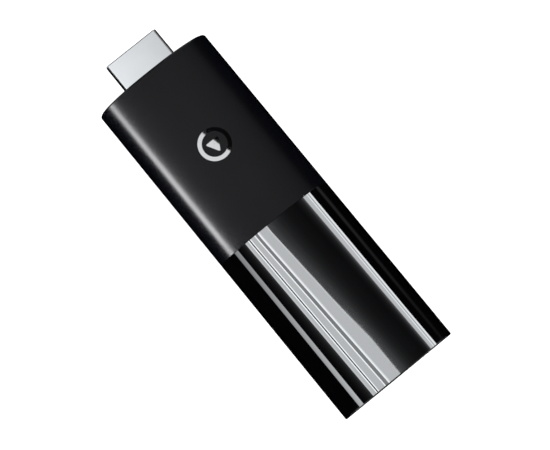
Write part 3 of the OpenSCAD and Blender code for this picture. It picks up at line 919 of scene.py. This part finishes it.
def add_world():
    """White for the camera and for soft light, black in reflections, which show the glowing meshes alone."""
    world = bpy.data.worlds.new("studio")
    bpy.context.scene.world = world
    world.use_nodes = True
    tree = world.node_tree
    background = tree.nodes["Background"]
    path = tree.nodes.new("ShaderNodeLightPath")
    choose = tree.nodes.new("ShaderNodeMapRange")
    choose.inputs["To Min"].default_value = 1.0
    choose.inputs["To Max"].default_value = 0.0
    tree.links.new(path.outputs["Is Glossy Ray"], choose.inputs["Value"])
    tree.links.new(choose.outputs["Result"], background.inputs["Strength"])
    background.inputs["Color"].default_value = (1, 1, 1, 1)


def mirrored(x, y, distance):
    """Where the camera looks by way of the body's polished top at x, y."""
    z, ny, nz = crown_at(y)
    point = np.array([x, y, z])
    normal = np.array([0, ny, nz])
    view = np.array(CAMERA_AT) - point
    view /= np.linalg.norm(view)
    return point + (2 * (normal @ view) * normal - view) * distance


def glowing(name, vertices, faces, glow, targets, tint=(1, 1, 1)):
    """A mesh of light that shows only in reflections, on the pieces it is aimed at, or on all if none."""
    mesh = bpy.data.meshes.new(name)
    mesh.from_pydata([tuple(v) for v in vertices], [], faces)
    attribute = mesh.attributes.new("glow", "FLOAT", "POINT")
    attribute.data.foreach_set("value", glow)
    mesh.materials.append(emission(name, tint))
    panel = bpy.data.objects.new(name, mesh)
    bpy.context.scene.collection.objects.link(panel)
    panel.visible_camera = False
    panel.visible_diffuse = False
    panel.visible_shadow = False
    if targets:
        group = bpy.data.collections.new(name + "_targets")
        for piece in targets:
            group.objects.link(piece)
        panel.light_linking.receiver_collection = group


CARD_DISTANCE = 0.5


def card(name, targets, stations, places, knots, tint):
    """A studio card that glows in long bands.

    stations are where the card has vertices, along the body. Each knot is where its reflection lies across
    the body at every place, in millimetres, and its glow there. The glow runs evenly from knot to knot, as
    over a graded softbox."""
    vertices, glow = [], []
    for x in stations:
        for ys, levels in knots:
            vertices.append(mirrored(x * MM, np.interp(x, places, ys) * MM, CARD_DISTANCE))
            glow.append(float(np.interp(x, places, levels)))
    across = len(knots)
    faces = []
    for i in range(len(stations) - 1):
        for k in range(across - 1):
            a = i * across + k
            faces.append((a, a + 1, a + across + 1, a + across))
    glowing(name, vertices, faces, glow, targets, tint)


def softbox(name, centre, toward, width, height, levels, targets=(), tint=(1, 1, 1)):
    """A flat softbox facing a point, its glow graded along its width from the first level to the second."""
    centre, toward = Vector(centre), Vector(toward)
    facing = (toward - centre).normalized()
    overhead = abs(facing.z) > 0.8
    side = Vector((0, 1, 0)) if overhead else facing.cross(Vector((0, 0, 1))).normalized()
    side = (side - facing * side.dot(facing)).normalized()
    rise = side.cross(facing)
    columns = 8
    vertices, glow = [], []
    for i in range(2):
        for k in range(columns + 1):
            share = k / columns
            vertices.append(centre + side * width * (share - 0.5) + rise * height * (i - 0.5))
            glow.append(levels[0] + (levels[1] - levels[0]) * share)
    faces = [(k, k + 1, k + columns + 2, k + columns + 1) for k in range(columns)]
    glowing(name, vertices, faces, glow, targets, tint)


PLACES = (5.5, 28.0, 37.0, 45.5)        # along the body, where the gloss card's knots are given
BRIGHT = 11.8                # the glow of the card's broad bands


def at(split, tail, level, bow=0.0, tail_level=None):
    """A knot of the card: its place at the split and the tail, its glow, and how far it bows in between."""
    last = level if tail_level is None else tail_level
    shares = [(x - PLACES[0]) / (PLACES[-1] - PLACES[0]) for x in PLACES]
    ys = [split + (tail - split) * share + bow * bend for share, bend in zip(shares, (0, 0.25, 1, 0))]
    return ys, [level + (last - level) * share for share in shares]


def groove(split, tail, half_split, half_tail, dark, light, lips, far_ends=(1.8, 2.2)):
    """A dark line between two light edges, as the gap between two cards shows.

    lips sets the width of each light edge, and far_ends where the far one starts and ends its fade."""
    near = [(-1, 2.2, BRIGHT), (-1, 1.8, light), (-1, 0.4, light), (-1, 0, dark)]
    far = [(1, 0, dark), (1, 0.4, light), (1, far_ends[0], light), (1, far_ends[1], BRIGHT)]
    knots = []
    for side, out, level in near + far:
        reach = out * lips[0 if side < 0 else 1]
        knots.append(at(split + side * (half_split + reach), tail + side * (half_tail + reach), level))
    return knots


add_world()
add_floor()

gloss_knots = [
    # a narrow band low on the -Y side, brighter toward the tail, and the dark beside it
    at(-11.03, -11.0, 0), at(-10.97, -10.95, 4.8, tail_level=8.8), at(-10.1, -9.98, 6.6, tail_level=11.6),
    at(-10.04, -9.92, 0), at(-9.2, -8.8, 0.08), at(-8.5, -7.95, 0.22), at(-7.98, -7.34, 0.7),
    # the broad band, with two dark lines in it
    at(-7.88, -7.24, 14), at(-7.7, -7.1, 14), at(-7.6, -7.0, BRIGHT),
    *groove(-6.78, -6.02, 0.13, 0.13, 2, 26, (0.11, 0.11)),
    *groove(-4.84, -3.43, 0.29, 0.38, 4.8, 24, (0.13, 0.18), (1.0, 3.4)),
    at(-2.25, -0.15, BRIGHT, 0.42), at(-2.15, -0.05, 14.5, 0.42), at(-1.95, 0.15, 14.5, 0.42),
    # its glow fades over the crown
    at(-1.89, 0.21, 1.55, 0.42), at(-1.0, 1.15, 1.1, 0.25), at(-0.1, 2.0, 0.62, 0.2),
    at(0.9, 2.7, 0.36, 0.1), at(2.0, 3.5, 0.22), at(3.2, 4.6, 0.13), at(5.0, 6.0, 0.09),
    # the band on the +Y side, with light lines in it
    at(6.0, 7.1, 0.07), at(6.7, 7.7, 0.13), at(7.4, 8.15, 0.3), at(7.9, 8.5, 1.0), at(8.15, 8.72, 3.0),
    at(8.22, 8.78, BRIGHT), at(9.08, 9.4, BRIGHT), at(9.16, 9.47, 20), at(9.3, 9.61, 20), at(9.38, 9.69, 9),
    at(9.58, 9.88, 9.5), at(9.66, 9.96, 19), at(9.99, 10.31, 19, -0.06), at(10.05, 10.37, 0, -0.06),
    # a faint line beyond it
    at(11.6, 11.6, 0), at(12.02, 12.02, 0.42, tail_level=0.12), at(12.6, 12.6, 0),
]
gloss_stations = (-8, 3, 5.5, 12, 20, 28, 33, 37, 41, 45.5, 49, 60, 75)
card("gloss_card", [gloss, tail], gloss_stations, PLACES, gloss_knots, (0.965, 0.995, 1.02))

MATTE_PLACES = (-38, -15, 4.5, 17, 30)
HIGHLIGHT_FADE = (0.6, 0.95, 1, 0.6, 0.3)       # along the body, at those places
FILL_FADE = (0.95, 1, 1, 0.8, 0.5)
highlight = ((-12.0, 0), (-11.9, 24), (-11.1, 24))
fill = ((-11.0, 0.5), (-8, 0.46), (0, 0.45), (8, 0.31), (10.0, 0.22), (11.2, 0))
matte_knots = []
for band, fade in ((highlight, HIGHLIGHT_FADE), (fill, FILL_FADE)):
    for y, level in band:
        matte_knots.append(([y] * len(MATTE_PLACES), [level * share for share in fade]))
matte_stations = (-60, -47, -38, -28, -18, -8, 4.5, 17, 30)
card("matte_card", [front], matte_stations, MATTE_PLACES, matte_knots, (0.99, 0.99, 1.02))

# the mark mirrors a bright card on one side of a slanting line, and next to nothing on the other
MARK_PLACES = (-21.5, -12)
MARK_BRIGHT = 16.5
mark_knots = [(ys, (level, level)) for ys, level in (((-5, -5), MARK_BRIGHT), ((-0.3, 2.68), MARK_BRIGHT),
                                                     ((-0.25, 2.73), 0.03), ((7, 7), 0.02))]
card("mark_card", [mark_piece], (-24, -20, -16, -12, -9), MARK_PLACES, mark_knots, (0.97, 0.985, 1.0))

METALS = [plug, plug_tabs, socket, insulator, contacts, tongue, pins]
SHELLS = [front, gloss, tail, mark_piece]
PLUG_LIGHT_AT = (-0.1534, 0.0326, 0.496)        # where the camera looks by way of the plug's top
PLUG_TOP_AT = (-0.043, 0, 0.0097)
softbox("plug_box", PLUG_LIGHT_AT, PLUG_TOP_AT, 0.2, 0.3, (1.9, 0.0), [plug], (0.965, 0.99, 1.01))


def ramp(value, low, high):
    """0 below low, 1 above high and a smooth climb in between."""
    share = min(1, max(0, (value - low) / (high - low)))
    return share * share * (3 - 2 * share)


def dome(name, targets, glow_at, radius, lowest=0.0):
    """A dome round the part that glows by direction, down to an angle of lowest.

    glow_at takes a direction's x, y and z. Each dome has its own radius, so that no two coincide."""
    turns, rises = 180, 90
    vertices, glow = [], []
    for i in range(rises + 1):
        rise = lowest + (math.pi / 2 - lowest) * i / rises
        for k in range(turns):
            turn = 2 * math.pi * k / turns
            way = (math.cos(rise) * math.cos(turn), math.cos(rise) * math.sin(turn), math.sin(rise))
            vertices.append([c * radius for c in way])
            glow.append(glow_at(*way))
    faces = []
    for i in range(rises):
        for k in range(turns):
            n = (k + 1) % turns
            corners = [i * turns + k, i * turns + n, (i + 1) * turns + n, (i + 1) * turns + k]
            if max(glow[c] for c in corners) > 0:
                faces.append(corners)
    glowing(name, vertices, faces, glow, targets)


def matt_sky(x, y, z):
    """Broad soft light beyond both ends, stronger high up, with a dark aisle straight ahead of the nose."""
    aisle = 1 if x > 0 else 0.7 * ramp(abs(y), 0.12, 0.4)
    return ramp(abs(x), 0.33, 0.57) * (0.3 + ramp(z, 0.2, 0.7)) * aisle


def gloss_sky(x, y, z):
    """Softboxes with clean edges beyond both ends: a tall one, and a strip below it, over a dim surround."""
    ends = ramp(x, 0.04, 0.12) if x > 0 else ramp(-x, 0.18, 0.26)
    turn = abs(math.degrees(math.atan2(y, abs(x))))
    box = ramp(z, 0.36, 0.37) * (1 - ramp(z, 0.72, 0.8)) * ramp(turn, 8, 9)
    strip = ramp(z, 0.17, 0.18) * (1 - ramp(z, 0.26, 0.27))
    return ends * (0.16 + 1.1 * box + 0.35 * strip)


def metal_sky(x, y, z):
    """White all round, but for a dark aisle across the plug and another straight ahead of it.

    The first leaves the plug's rounded edges dark, but for a narrow patch on each side, its shoulders."""
    across = ramp(-x, 0.32, 0.38) + ramp(x, -0.14, -0.1)
    if z < 0:
        return 0.8 * across * ramp(abs(y), 0.4, 0.6)
    ahead = 1 if x > 0 else ramp(abs(y), 0.15, 0.35) + ramp(x, -0.3, -0.2)
    shoulders = ramp(abs(y), 0.41, 0.43) * (1 - ramp(abs(y), 0.53, 0.55))
    return 0.85 * max(across * min(1, ahead), shoulders)


dome("matt_dome", [front], matt_sky, 1.2)
dome("gloss_dome", [gloss, tail, mark_piece], gloss_sky, 1.3)
dome("metal_dome", METALS, metal_sky, 1.4, math.radians(-13))

# the white table, as the end faces and the polished metal mirror it
TABLE_NEAR = TAIL_X + 18 * MM
TABLE_FAR = TABLE_NEAR + 0.6
TABLE_Z = -2 * MM


def table(name, way, half_near, half_far, level, targets):
    """A lit part of the table beyond one end of the body, on the side that way gives."""
    vertices = [(way * x, y, TABLE_Z) for x, half in ((TABLE_NEAR, half_near), (TABLE_FAR, half_far))
                for y in (-half, half)]
    glowing(name, vertices, [(0, 1, 3, 2)], [level] * 4, targets)


table("tail_table", 1, 0.35, 0.35, 1.0, SHELLS + METALS)
table("nose_table", -1, 0.03, 0.45, 0.8, SHELLS)

# four boxes low around the part, for its sides and ends seen from elsewhere
BOX_DISTANCE = 0.9
BOX_HEIGHT = 0.28
for number, turn in enumerate((35, 145, 215, 325)):
    angle = math.radians(turn)
    away = Vector((math.cos(angle) * BOX_DISTANCE, math.sin(angle) * BOX_DISTANCE, BOX_HEIGHT))
    softbox(f"room_box_{number}", away, (0, 0, MID_Z), 0.34, 0.42, (1.2, 1.2))

bpy.context.scene.view_settings.view_transform = "Standard"
